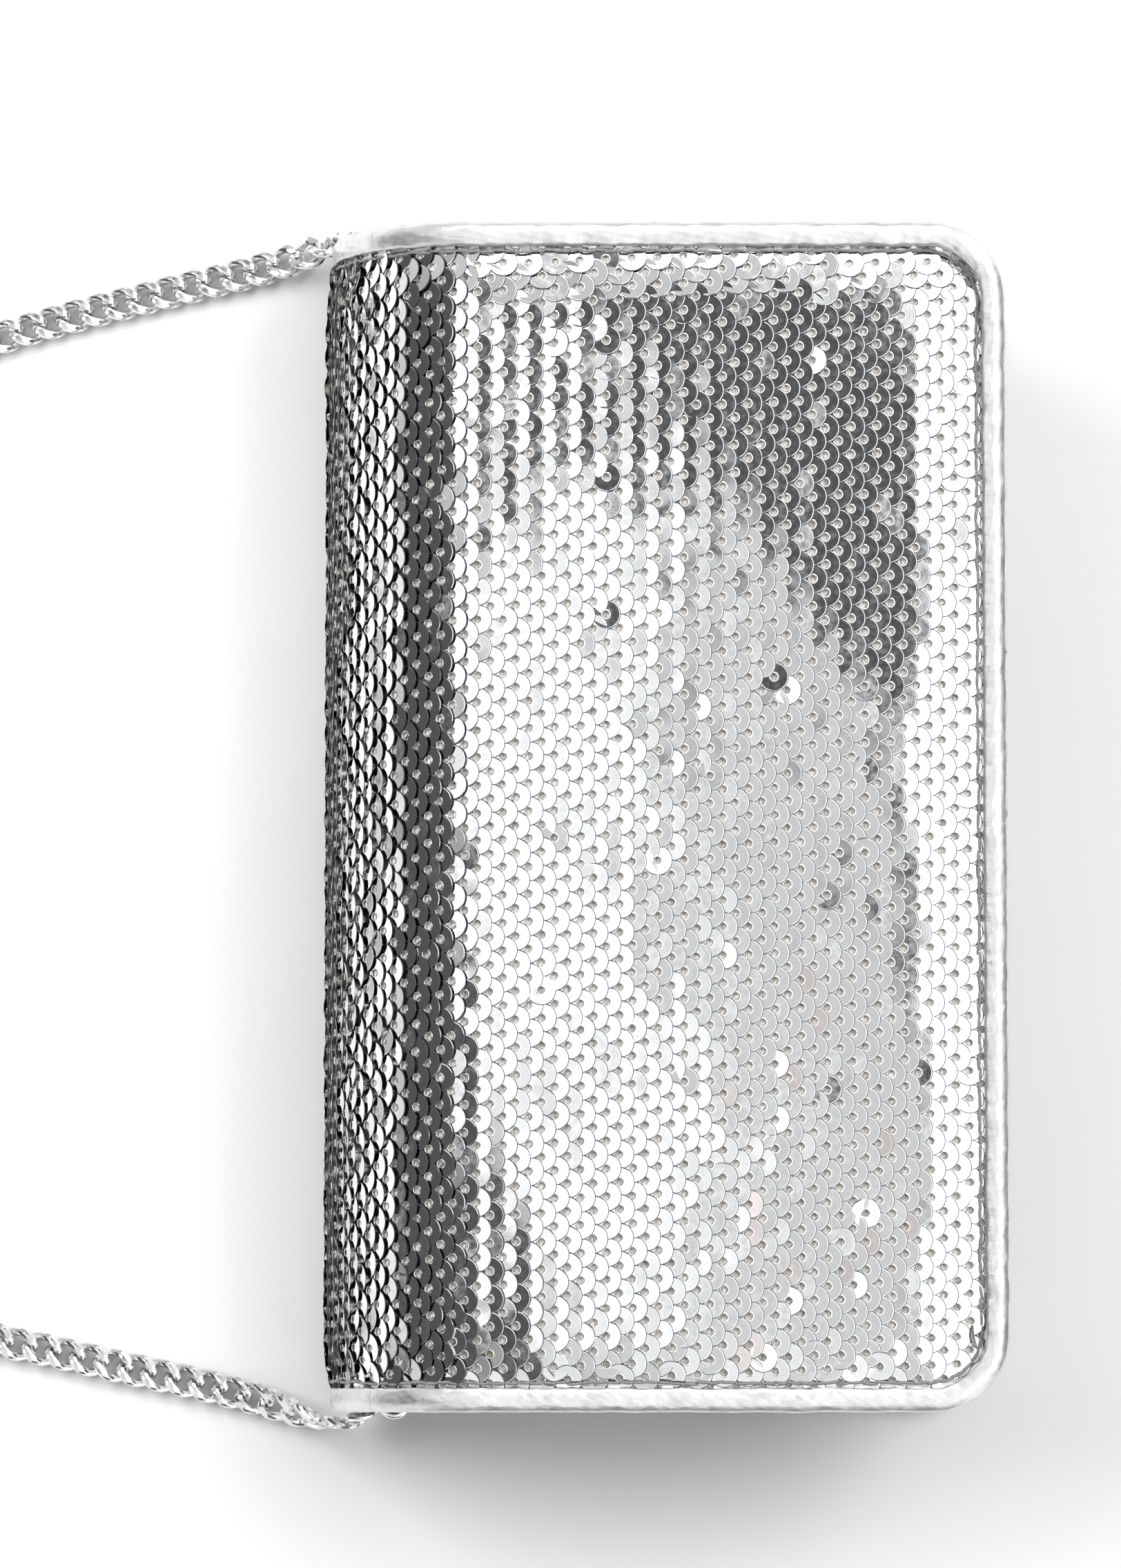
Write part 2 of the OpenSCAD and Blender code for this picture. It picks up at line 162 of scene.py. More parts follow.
def rings_round(line, out, side, angle, radius):
    """A ring of points round each point of a line; the radius is one number or one for each point."""
    turned = out[:, None] * np.cos(angle)[None, :, None] + side[:, None] * np.sin(angle)[None, :, None]
    return line[:, None] + turned * np.broadcast_to(radius, len(line))[:, None, None]


def smooth_noise(x, y, seed, scale):
    """Sum of a few plane waves, about -1 to 1, the same for the same seed."""
    draw = np.random.default_rng(seed)
    total = np.zeros(np.broadcast(x, y).shape)
    for wave in range(5):
        angle, phase = draw.uniform(0, 2 * math.pi, 2)
        k = 2 * math.pi / scale * draw.uniform(0.6, 1.7)
        total += np.sin(k * (x * math.cos(angle) + y * math.sin(angle)) + phase)
    return total / 3.2


def circle(count):
    """Even angles round a circle."""
    return np.linspace(0, 2 * math.pi, count, endpoint=False)


def unit(v):
    return v / np.maximum(np.linalg.norm(v, axis=-1, keepdims=True), 1e-12)


def spline(points, per_span):
    """Points on a smooth curve through the given ones."""
    p = np.asarray(points, float)
    p = np.vstack([2 * p[0] - p[1], p, 2 * p[-1] - p[-2]])
    out = []
    for i in range(1, len(p) - 2):
        for t in np.arange(per_span) / per_span:
            a, b, c, d = p[i - 1], p[i], p[i + 1], p[i + 2]
            out.append(0.5 * (2 * b + (c - a) * t + (2 * a - 5 * b + 4 * c - d) * t * t
                              + (3 * b - a - 3 * c + d) * t ** 3))
    out.append(p[-2])
    return np.array(out)


def lengths_along(points):
    """The length along a line at each of its points."""
    return np.concatenate([[0], np.cumsum(np.linalg.norm(np.diff(points[:, :3], axis=0), axis=1))])


def at_marks(marks, at, points):
    """Rows of points, known at the lengths at, at the given marks."""
    return np.stack([np.interp(marks, at, column) for column in points.T], 1)


def resample(points, step):
    """The curve's points at even steps."""
    at = lengths_along(points)
    marks = np.linspace(0, at[-1], max(2, int(round(at[-1] / step)) + 1))
    return at_marks(marks, at, points)


# ---- materials ----


class Tree:
    """A shader's node tree, with one call for a node and all its inputs."""

    def __init__(self, owner):
        owner.use_nodes = True
        self.nodes, self.links = owner.node_tree.nodes, owner.node_tree.links

    def node(self, kind, **inputs):
        return self.fill(self.nodes.new("ShaderNode" + kind), **inputs)

    def fill(self, node, **inputs):
        """Sets a node's inputs; each is a number, a colour or another node's output."""
        for key, value in inputs.items():
            self.feed(node.inputs[key.replace("_", " ")], value)
        return node

    def feed(self, socket, value):
        if isinstance(value, bpy.types.NodeSocket):
            self.links.new(value, socket)
        else:
            socket.default_value = value


class Look(Tree):
    """A node material: a Principled shader with helpers for its patterns."""

    def __init__(self, name, **values):
        self.material = bpy.data.materials.new(name)
        super().__init__(self.material)
        self.shader = self.fill(self.nodes["Principled BSDF"], **values)
        self.place = self.node("TexCoord").outputs["Object"]
        self.normal = None

    def noise(self, scale, detail=3.0, stretch=None, distortion=0.0):
        """Cloudy noise, scaled apart along the axes by stretch."""
        place = self.place
        if stretch:
            place = self.node("Mapping", Scale=stretch, Vector=place).outputs["Vector"]
        return self.node("TexNoise", Scale=scale, Detail=detail, Distortion=distortion,
                         Vector=place).outputs["Fac"]

    def cells(self, scale):
        return self.node("TexVoronoi", Scale=scale, Vector=self.place).outputs["Distance"]

    def waves(self, scale, direction, distortion=0.0):
        node = self.node("TexWave", Scale=scale, Distortion=distortion, Vector=self.place)
        node.bands_direction = direction
        return node.outputs["Fac"]

    def colours(self, value, stops):
        """Base colours at stops of the value."""
        node = self.node("ValToRGB", Fac=value)
        ramp = node.color_ramp
        for i, (at, colour) in enumerate(stops):
            stop = ramp.elements[i] if i < 2 else ramp.elements.new(at)
            stop.position, stop.color = at, (*colour, 1)
        self.fill(self.shader, Base_Color=node.outputs["Color"])

    def rough(self, value, low, high, smoothest, roughest):
        """Roughness between two values, as the pattern goes from low to high."""
        node = self.node("MapRange", From_Min=low, From_Max=high, To_Min=smoothest, To_Max=roughest,
                         Value=value)
        self.fill(self.shader, Roughness=node.outputs["Result"])

    def bump(self, value, distance, strength=1.0):
        """Relief of the given depth in mm, on top of the relief before it."""
        node = self.node("Bump", Distance=distance * MM, Strength=strength, Height=value)
        if self.normal is not None:
            self.fill(node, Normal=self.normal)
        self.normal = node.outputs["Normal"]
        self.fill(self.shader, Normal=self.normal)


def sequin_look(name, colour, low, high):
    """Mirror-bright film with fine scratches and a soft haze."""
    look = Look(name, Base_Color=(*colour, 1), Metallic=1.0)
    look.rough(look.noise(900, 3), 0.35, 0.7, low, high)
    scratch_depth = 0.0011
    look.bump(look.noise(5200, 3, (1, 0.5, 1)), scratch_depth)
    return look.material


def leather_look(name, colour, metallic=0.92, low=0.28, high=0.46):
    """Foil-coated leather: crinkled, with a fine grain under the shine, and darker streaky patches that are
    partly the foil's uneven tone and partly painted shade of its creases.
    """
    look = Look(name, Metallic=metallic, IOR=1.45)
    # darker streaky patches: the foil's uneven tone and painted shade of creases
    blotch_and_crease_shade = look.noise(600, 5, (0.5, 1, 1), 0.6)
    dark = tuple(c * 0.86 for c in colour)
    look.colours(blotch_and_crease_shade, [(0.3, dark), (0.62, colour)])
    look.rough(look.noise(420, 4), 0.3, 0.75, low, high)
    look.bump(look.cells(1900), 0.02, 0.5)
    look.bump(look.noise(1100, 3, (0.35, 1, 1), 0.5), 0.09, 0.7)
    look.bump(look.noise(420, 5, distortion=0.6), 0.06, 0.5)
    return look.material


def metal_look(name, colour, low, high):
    """Plated metal, its shine a little uneven."""
    look = Look(name, Base_Color=(*colour, 1), Metallic=1.0)
    look.rough(look.noise(700, 3), 0.3, 0.75, low, high)
    look.bump(look.noise(1600, 2, (1, 1, 3)), 0.004)
    return look.material


def backing_look():
    """Grey-beige mesh cloth with loose fibres, seen through the sequins' holes."""
    look = Look("backing_cloth", Roughness=0.85, Specular_IOR_Level=0.25, Sheen_Weight=0.3)
    fibres = look.noise(2600, 4, (1, 0.3, 1), 1.2)
    shadow, yarn, light = (0.26, 0.235, 0.21), (0.56, 0.52, 0.47), (0.86, 0.82, 0.77)
    look.colours(fibres, [(0.3, shadow), (0.5, yarn), (0.7, light)])
    look.bump(fibres, 0.12)
    return look.material


def satin_look():
    """Grey satin with its weave and slack places."""
    look = Look("satin", Sheen_Weight=0.25, Anisotropic=0.6, Specular_IOR_Level=0.6)
    weave = look.waves(900, "X", 0.6)
    look.colours(look.noise(60, 3), [(0.3, (0.54, 0.53, 0.515)), (0.7, (0.575, 0.565, 0.55))])
    look.rough(look.noise(200, 3), 0.3, 0.7, 0.28, 0.42)
    look.bump(weave, 0.02, 0.4)
    look.bump(look.noise(60, 3, (1, 0.3, 1)), 0.12, 0.4)
    return look.material


def foam_look():
    look = Look("foam", Roughness=0.95, Specular_IOR_Level=0.2)
    # the pits of the cells are painted darker: painted shade in the foam's pores
    look.colours(look.cells(900), [(0.1, (0.5, 0.49, 0.45)), (0.6, (0.86, 0.85, 0.8))])
    look.bump(look.cells(900), 0.15, 0.8)
    return look.material


def board_look():
    look = Look("board", Roughness=0.85, Specular_IOR_Level=0.25)
    look.colours(look.noise(700, 5), [(0.3, (0.24, 0.20, 0.15)), (0.7, (0.36, 0.31, 0.24))])
    look.bump(look.noise(1500, 4), 0.05)
    return look.material


def thread_look(name, colour):
    look = Look(name, Roughness=0.6, Sheen_Weight=0.3)
    look.colours(look.noise(3000, 2), [(0.3, tuple(c * 0.7 for c in colour)), (0.7, colour)])
    look.bump(look.waves(1400, "DIAGONAL"), 0.05)
    return look.material


SILVER = (0.90, 0.91, 0.92)
sequin_materials = [sequin_look("sequin_silver", SILVER, 0.05, 0.13),
                    sequin_look("sequin_hazy", (0.86, 0.87, 0.88), 0.14, 0.26),
                    sequin_look("sequin_warm", (0.86, 0.80, 0.78), 0.06, 0.14),
                    # dark outer band of each sequin: the film's dark cut edge, widened with painted shadow of
                    # the gap to the next sequin
                    metal_look("sequin_cut_edge_and_shadow", (0.16, 0.165, 0.17), 0.3, 0.5)]
backing = backing_look()
leather = leather_look("silver_leather", (0.80, 0.80, 0.80))
panel_leather = leather_look("panel_leather", (0.80, 0.80, 0.81), 0.85, 0.34, 0.5)
satin = satin_look()
foam = foam_look()
board = board_look()
thread = thread_look("thread", (0.80, 0.79, 0.77))
# Dark seam thread: partly the thread's own colour, partly painted shadow of the gap between piping and
# sequins.
seam_thread_and_shadow = thread_look("seam_thread_and_shadow", (0.17, 0.165, 0.16))
cord_cotton = thread_look("piping_cotton", (0.85, 0.84, 0.8))
chain_metal = metal_look("chain_metal", (0.86, 0.86, 0.86), 0.12, 0.24)
ring_metal = metal_look("plated_rings", (0.84, 0.84, 0.85), 0.12, 0.22)
snap_metal = metal_look("snap_metal", (0.78, 0.78, 0.79), 0.16, 0.3)


def join(piece, where):
    """Fixes a piece to one body; a piece at the heel (bag to fold) or the crown (fold to flap) only has its
    place baked into its mesh.
    """
    if where == "heel":
        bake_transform(piece)
    elif where == "crown":
        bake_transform(piece)
    else:
        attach(piece, where)


def dress(piece, material, where, replaces=()):
    """Gives a piece its material and slot, places it by join and hides the CAD nodes that it stands for."""
    piece.data.materials.append(material)
    join(piece, where)
    if replaces:
        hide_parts(*replaces)
    return piece


# ---- chain: one flat curb chain from ring to ring, with its spare length wound in a coil ----

RIGHT_ROUTE = [
    (-49, 97.8, 10.5, 90), (-51.5, 99.4, 9.4, 90), (-55, 99.8, 6.8, 75), (-58.5, 98.9, 4.3, 40),
    (-62, 97.8, 2.8, 15), (-66, 96.6, 2, 5), (-71, 95.2, 1.7, 0), (-78, 93.5, 1.6, 0), (-86, 91.5, 1.6, 0),
    (-96, 89, 1.6, 0), (-105, 86.5, 1.6, 0), (-113, 84, 1.6, 0), (-121, 80, 1.6, 0), (-128, 74, 1.6, 0),
    (-134, 66, 1.6, 0), (-140, 56, 1.6, 0), (-146, 47.5, 1.6, 0), (-152, 41.5, 1.6, 0), (-158, 39, 1.6, 0)]
LEFT_ROUTE = [
    (-49, -97.8, 10.5, -90), (-51.5, -99.5, 9.4, -90), (-55, -100, 7.6, -85), (-59, -99.5, 5.4, -65),
    (-63, -98.2, 3.7, -40), (-68, -96.4, 2.4, -20), (-75, -94.5, 1.8, -5), (-82, -92.9, 1.6, 0),
    (-89, -91.4, 1.6, 0), (-97, -89.6, 1.6, 0), (-105, -87.8, 1.6, 0), (-113, -86, 1.6, 0),
    (-121, -82, 1.6, 0), (-128, -76, 1.6, 0), (-134, -68, 1.6, 0), (-140, -58, 1.8, 0),
    (-146, -48.5, 2.8, 0), (-152, -42, 4.2, 0), (-158, -39, 4.8, 0)]
COIL_X, COIL_OUTER, COIL_INNER, COIL_TURNS = -158, 39, 26, 2.25
LOW_LAYER, HIGH_LAYER = 1.6, 4.8
CHAIN_WIDTH, LINK_PITCH, LINK_WIRE = 5.8, 4.1, 1.5


def coil_points():
    """In on the surface, up one layer at the inside, and out again on top."""
    spiral = np.linspace(0, 1, 200)
    steps = [(math.pi / 2 + 2 * math.pi * COIL_TURNS * spiral,
              COIL_OUTER + (COIL_INNER - COIL_OUTER) * spiral, 0 * spiral + LOW_LAYER),
             (math.pi / 2 + 2 * math.pi * COIL_TURNS * (1 + spiral),
              COIL_INNER + (COIL_OUTER - COIL_INNER) * spiral,
              LOW_LAYER + (HIGH_LAYER - LOW_LAYER) * np.clip(spiral * 9, 0, 1))]
    return np.vstack([np.stack([COIL_X + r * np.cos(a), r * np.sin(a), z, 0 * a], 1)[:-1]
                      for a, r, z in steps])


def chain_route():
    """x, y, z and lean in degrees along the chain: from the right ring by way of the coil to the left one."""
    right, left = spline(RIGHT_ROUTE, 6), spline(LEFT_ROUTE, 6)
    return np.vstack([right[:-1], coil_points(), left[::-1] * (1, 1, 1, -1)])


def link_shape():
    """A curb link: an oval ring of wire, twisted so that links lie through each other, its faces cut flat."""
    around, sides = 26, 10
    half_long, half_wide = (LINK_PITCH + LINK_WIRE) / 2, (CHAIN_WIDTH - LINK_WIRE) / 2
    twist, cut = math.radians(47), 1.22
    a = circle(around)
    oval = np.stack([half_long * np.sign(np.cos(a)) * np.abs(np.cos(a)) ** 0.86,
                     half_wide * np.sign(np.sin(a)) * np.abs(np.sin(a)) ** 0.92, 0 * a], 1)
    turn = twist * np.clip(oval[:, 0] / half_long, -1, 1)
    centre = np.stack([oval[:, 0], oval[:, 1] * np.cos(turn), oval[:, 1] * np.sin(turn)], 1)
    along = unit(np.roll(centre, -1, 0) - np.roll(centre, 1, 0))
    out = unit(centre * (0.6, 1, 1) - along * np.sum(centre * (0.6, 1, 1) * along, 1, keepdims=True))
    side = np.cross(along, out)
    b = circle(sides) + math.pi / sides
    ring = rings_round(centre, out, side, b, LINK_WIRE / 2)
    ring[..., 2] = np.clip(ring[..., 2], -cut, cut)
    return ring.reshape(-1, 3), tube_faces(around, sides, closed=True)


def make_chain():
    """The chain, link by link, each leaning a little its own way."""
    lean_spread, least_height = 3.5, 0.05
    route = chain_route()
    at = lengths_along(route)
    total = at[-1]
    count = int(total / LINK_PITCH)
    marks = (np.arange(count) + 0.5) * total / count
    place = at_marks(marks, at, route)
    along = unit((at_marks(marks + 1, at, route) - at_marks(marks - 1, at, route))[:, :3])
    side = unit(np.cross([0, 0, 1.0], along))
    up = np.cross(along, side)
    lean = np.radians(place[:, 3:4] + rng.normal(0, lean_spread, (count, 1)))
    wide, thin = side * np.cos(lean) + up * np.sin(lean), up * np.cos(lean) - side * np.sin(lean)
    shape, faces = link_shape()
    points = (place[:, None, :3] + along[:, None] * shape[None, :, :1] + wide[:, None] * shape[None, :, 1:2]
              + thin[:, None] * shape[None, :, 2:])
    lowest = points[..., 2].min(1)
    points[..., 2] += np.maximum(least_height - lowest, 0)[:, None]
    chain = mesh_object("chain", points.reshape(-1, 3), copies(faces, count, len(shape)), crisp=32)
    dress(chain, chain_metal, "bag", ("right_chain_run", "chain_coil", "left_chain_run"))


make_chain()

# ---- the skin: flap, fold and back as one surface ----

DISC_IN = 0.35  # how far the sequins' middle surface lies inside the CAD skin
R_FOLD, R_HEEL = DEPTH - HINGE_Z - DISC_IN, HINGE_Z - DISC_IN
L_FOLD, L_HEEL = R_FOLD * math.pi / 2, R_HEEL * math.pi / 2
S_MID = -L_FOLD / 2
S_BACK = -L_FOLD - L_HEEL
S_FLAP_END = EDGE_X - FOLD_X
S_BACK_END = S_BACK - (BACK_EDGE_X - HEEL_X)
BLEND = 5.0  # how far onto the flap the bending pieces reach
FLAP_TOP = 37  # s of the flap's highest line


def profile(s):
    """Side profile of the sequins' middle surface: x, z and the outward normal."""
    s = np.asarray(s, float)
    fold = np.pi / 2 + np.clip(-s, 0, L_FOLD) / R_FOLD
    heel = np.pi + np.clip(-s - L_FOLD, 0, L_HEEL) / R_HEEL
    on_heel = s < -L_FOLD
    angle = np.where(on_heel, heel, fold)
    cx, r = np.where(on_heel, HEEL_X, FOLD_X), np.where(on_heel, R_HEEL, R_FOLD)
    x = cx + r * np.cos(angle) + np.maximum(s, 0) + np.maximum(S_BACK - s, 0)
    z = HINGE_Z + r * np.sin(angle)
    return x, z, np.cos(angle), np.sin(angle)


def hump(at, middle, width):
    """A smooth hill of height 1."""
    return np.exp(-(((at - middle) / width) ** 2))


def edge_drop(distance, depth, width):
    """Rounds an edge over: depth at the edge, nothing from width inwards."""
    return depth * (1 - np.clip(distance, 0, width) / width) ** 2


def far_edges(s):
    """x of the skin's edge at the far side from the fold, and y of its ends, at s."""
    heel_share = np.clip((s - S_BACK) / L_HEEL, 0, 1)
    far_y = np.where(s > 0, EDGE_Y, BACK_EDGE_Y + (EDGE_Y - BACK_EDGE_Y) * heel_share)
    return np.where(s > 0, EDGE_X, BACK_EDGE_X), far_y


def half_width(s):
    """How far the skin reaches towards either end at s."""
    far_x, far_y = far_edges(s)
    over = np.clip(profile(s)[0] - (far_x - EDGE_R), 0, EDGE_R)
    rounded = far_y - EDGE_R + np.sqrt(np.maximum(EDGE_R ** 2 - over ** 2, 0))
    return np.where((s > 0) | (s < S_BACK), rounded, far_y)


def drop(s, y):
    """How far the padded skin sinks: towards its edges, and in slow waves."""
    on_flap = np.clip(s / 12, 0, 1)
    off_back = np.clip((s - S_BACK) / 6, 0, 1)
    side = edge_drop(half_width(s) - np.abs(y), 1.1, 9)
    uneven_width = 15 + 2.5 * np.sin(y / 17 + 1.5) + 1.5 * np.sin(y / 7.3)
    free = edge_drop(S_FLAP_END - s, 1.15, uneven_width)
    to_free_edge = 0.5 * np.maximum((s - FLAP_TOP) / 47, 0) ** 2
    to_fold = 0.6 * (1 + 1.6 * np.clip((-y - 40) / 50, 0, 1)) * hump(s, -8, 20)
    to_ends = 0.35 * (y / EDGE_Y) ** 2
    to_corner = 0.3 * (np.maximum(s - 50, 0) * np.maximum(y - 35, 0) / 1500) ** 2
    crown = to_free_edge + to_fold + to_ends + to_corner
    twist = (0.004 * hump(y, -8, 14) - 0.010 * hump(y, -54, 14) - 0.005 * hump(y, 50, 25)
             + 0.006 * hump(y, 84, 10))
    waves = 0.025 * smooth_noise(s, y, 3, 26) + 0.006 * smooth_noise(s, y, 4, 9)
    waves = waves + twist * (s - FLAP_TOP) * np.clip(s / 10, 0, 1)
    front = np.where(s > -L_FOLD, crown * np.clip((s + L_FOLD) / 10, 0, 1), 0)
    return (side * (0.35 + 0.65 * off_back) + np.where(s > 0, free, 0) + (front + waves) * off_back
            + 0.1 * on_flap)


def surface(s, y, inward=0.0):
    """Points of the skin, inward below the sequins' middle surface."""
    x, z, nx, nz = profile(s)
    sink = drop(s, y) + inward
    return np.stack([x - nx * sink, np.broadcast_to(y, x.shape), z - nz * sink], -1)


def surface_frame(s, y):
    """Points, unit vectors along s and unit normals of the skin."""
    h = 0.05
    along = unit(surface(s + h, y) - surface(s - h, y))
    across = unit(surface(s, y + h) - surface(s, y - h))
    return surface(s, y), along, unit(np.cross(along, across))


# ---- sequins ----

SEQUIN_R, HOLE_R = 2.5, 0.58
COLUMN_PITCH, ROW_PITCH, ROW_DRIFT = 2.13, 4.57, 0.04
SIDE_TILT = 1.35  # degrees that every other column sways to either side
LIE_TILT = 4.3  # degrees that a sequin tilts by lying on the next column
# A sequin's rings from its hole outwards: radius and height.
FINE_RINGS = [(HOLE_R, -0.04), (0.62, 0.04), (0.71, 0.055), (0.83, 0.0), (2.27, 0.0), (2.37, -0.014),
              (SEQUIN_R, -0.06)]
COARSE_RINGS = [(HOLE_R, -0.05), (0.7, 0.05), (0.83, 0.0), (2.34, 0.0), (SEQUIN_R, -0.06)]


def clamp_to_edge(points, s):
    """Cuts the sequins along the seam: nothing reaches further than just under the piping."""
    x, y = points[..., 0], points[..., 1]
    rounded = ((s > 0) | (s < S_BACK))[:, None]
    margin = 0.75
    far_x, far_y = (edge[:, None] + margin for edge in far_edges(s))
    r = EDGE_R + margin
    cx, cy = far_x - r, far_y - r
    dx, dy = np.maximum(x - cx, 0), np.maximum(np.abs(y) - cy, 0)
    reach = np.hypot(dx, dy)
    over = rounded & (reach > r)
    scale = np.where(over, r / np.maximum(reach, 1e-9), 1)
    points[..., 0] = np.where(over & (dx > 0), cx + dx * scale, x)
    new_y = np.where(over & (dy > 0), cy + dy * scale, np.abs(y))
    points[..., 1] = np.sign(y) * np.where(rounded, new_y, np.minimum(new_y, far_y))
    return points


def seam_distance(s, y):
    """Distance of a point of the skin from the seam, less than 0 outside it."""
    far_x, far_y = far_edges(s)
    dx, dy = profile(s)[0] - (far_x - EDGE_R), np.abs(y) - (far_y - EDGE_R)
    corner = EDGE_R - np.hypot(np.maximum(dx, 0), np.maximum(dy, 0))
    straight = EDGE_R - np.maximum(dx, dy)
    flat_end = half_width(s) - np.abs(y)
    return np.where((s > 0) | (s < S_BACK), np.where((dx > 0) & (dy > 0), corner, straight), flat_end)


def sequin_places(first, last, draw):
    """s, y and column number of the sequins from one column up to another, each a little off its place."""
    columns, rows = np.meshgrid(np.arange(first, last), np.arange(-23, 24), indexing="ij")
    columns, rows = columns.ravel(), rows.ravel()
    s = (columns + 0.2) * COLUMN_PITCH
    y = (rows + 0.5 * (columns % 2)) * ROW_PITCH + ROW_DRIFT * s
    loose = 0.05 + 0.07 * np.clip(-s / 8, 0, 1)
    s = s + draw.normal(0, 1, len(s)) * loose
    y = y + draw.normal(0, 1.4, len(s)) * loose
    keep = seam_distance(s, y) > -0.8
    return s[keep], y[keep], columns[keep]


def sequin_leans(s, y, columns, wild, draw):
    """Each sequin's tilt along s and sway along y: more by chance on the fold and at the seam."""
    count = len(s)
    bend = np.where(s < -L_FOLD, 1 / R_HEEL, 1 / R_FOLD) * ((s < 0) & (s > S_BACK))
    tilt = np.radians(LIE_TILT) + 1.15 * bend * COLUMN_PITCH
    either_way = np.where(columns % 2 == 0, 1, -1) * (1 - 0.7 * np.clip((s - 35) / 20, 0, 1))
    sway = np.radians(SIDE_TILT) * either_way
    unruly = 1 + 9 * np.clip((2 - s) / 8, 0, 1) + 15 * np.clip(1 - (seam_distance(s, y) - 1) / 8, 0, 1)
    tilt = tilt + np.radians(draw.normal(0, 0.17, count) * unruly + wild * draw.normal(0, 2.3, count))
    sway = sway + np.radians(draw.normal(0, 0.2, count) * unruly + wild * draw.normal(0, 2.0, count))
    front = np.clip((s + 2) / 4, 0, 1)
    start = 54 - 1.5 * np.maximum(s - 43, 0)
    right_end = front / (1 + np.exp((start - y) / 3))
    sway = sway + np.radians(2.6) * right_end
    left_corner = front / (1 + np.exp((y + 50) / 7)) * np.clip((-y / 9 - s + 1) / 3, 0, 1)
    sway = sway - np.radians(1.0) * left_corner
    tilt = tilt + np.radians(5.5) * left_corner
    return tilt, sway


def make_sequins(name, s_from, s_to, rings, segments):
    """Sequins of the columns between two lengths, each column lying on the next, as one mesh."""
    first, last = math.ceil(s_from / COLUMN_PITCH), math.ceil(s_to / COLUMN_PITCH)
    draw = np.random.default_rng(1000 + first)
    s, y, columns = sequin_places(first, last, draw)
    count = len(s)
    wild = draw.random(count) < 0.03
    tilt, sway = sequin_leans(s, y, columns, wild, draw)
    point, along, normal = surface_frame(s, y)
    across = np.cross(normal, along)
    face = unit(normal - np.tan(tilt)[:, None] * along + np.tan(sway)[:, None] * across)
    u = unit(along - face * np.sum(along * face, 1, keepdims=True))
    v = np.cross(face, u)
    edge = np.clip(seam_distance(s, y) / 2.2, 0, 1)
    point = point - normal * (0.35 * (1 - edge) ** 2)[:, None] + normal * (wild * 0.1)[:, None]
    angle = circle(segments)
    radius, height = np.array(rings).T
    dish = 0.0011
    curve_u = draw.normal(0, dish, (count, 1, 1))
    curve_v = draw.normal(0, dish, (count, 1, 1))
    ru = radius[:, None] * np.cos(angle)[None, :]
    rv = radius[:, None] * np.sin(angle)[None, :]
    h = height[:, None] + curve_u * ru[None] ** 2 + curve_v * rv[None] ** 2
    shape = (point[:, None, None] + u[:, None, None] * ru[None, :, :, None]
             + v[:, None, None] * rv[None, :, :, None] + face[:, None, None] * h[..., None])
    points = clamp_to_edge(shape.reshape(count, -1, 3), s)
    on_back = s_to <= S_BACK + COLUMN_PITCH
    if on_back:
        points[..., 2] = np.maximum(points[..., 2], 0.02)
    faces = tube_faces(len(rings), segments, closed=True)[:, ::-1]
    per = len(rings) * segments
    piece = mesh_object(name, points.reshape(-1, 3), copies(faces, count, per))
    mark_rims(piece, rings, segments, per)
    kind = np.where(draw.random(count) < 0.06, 1, 0)
    warm = (draw.random(count) < 0.05) & (s > 40) & (y < -10)
    kind = np.where(warm, 2, kind)
    for material in sequin_materials:
        piece.data.materials.append(material)
    kinds = np.repeat(kind, len(faces)).reshape(count, len(rings), segments)
    # The outer bevel band gets the dark edge material: the film's cut edge plus painted shadow of the gap
    # under the next sequin.
    cut_edge_and_shadow_band = len(rings) - 2
    kinds[:, cut_edge_and_shadow_band] = len(sequin_materials) - 1
    piece.data.polygons.foreach_set("material_index", kinds.ravel().astype(np.int32))
    return piece


def mark_rims(piece, rings, segments, per):
    """Crisp lines where the flat face meets the rim round the hole and the bevel at the edge."""
    mesh = piece.data
    flat = [i for i, (_, height) in enumerate(rings) if height == 0.0]
    ends = np.zeros(len(mesh.edges) * 2, np.int32)
    mesh.edges.foreach_get("vertices", ends)
    ring = (ends.reshape(-1, 2) % per) // segments
    sharp = np.zeros(len(ring), bool)
    for i in flat + [0, len(rings) - 2, len(rings) - 1]:
        sharp |= (ring[:, 0] == i) & (ring[:, 1] == i)
    mesh.attributes.new("sharp_edge", "BOOLEAN", "EDGE").data.foreach_set("value", sharp)


def make_all_sequins():
    """All the sequins, in strips: four on the flap, three round the fold and two on the back."""
    flap_parts, back_parts = 4, 2
    step = (S_FLAP_END - BLEND) / flap_parts
    for i in range(flap_parts):
        start = BLEND + i * step
        end = start + step if i < flap_parts - 1 else S_FLAP_END + 1
        join(make_sequins(f"sequins_flap_{i + 1}", start, end, FINE_RINGS, 28), "flap")
    join(make_sequins("sequins_fold_top", S_MID, BLEND, FINE_RINGS, 28), "crown")
    join(make_sequins("sequins_fold_middle", -L_FOLD, S_MID, FINE_RINGS, 28), "heel")
    join(make_sequins("sequins_fold_heel", S_BACK, -L_FOLD, FINE_RINGS, 24), "heel")
    step = (S_BACK_END - 1 - S_BACK) / back_parts
    for i in range(back_parts):
        start = S_BACK + (i + 1) * step
        join(make_sequins(f"sequins_back_{i + 1}", start, S_BACK + i * step, COARSE_RINGS, 18), "bag")


make_all_sequins()

# ---- layers that follow the skin ----


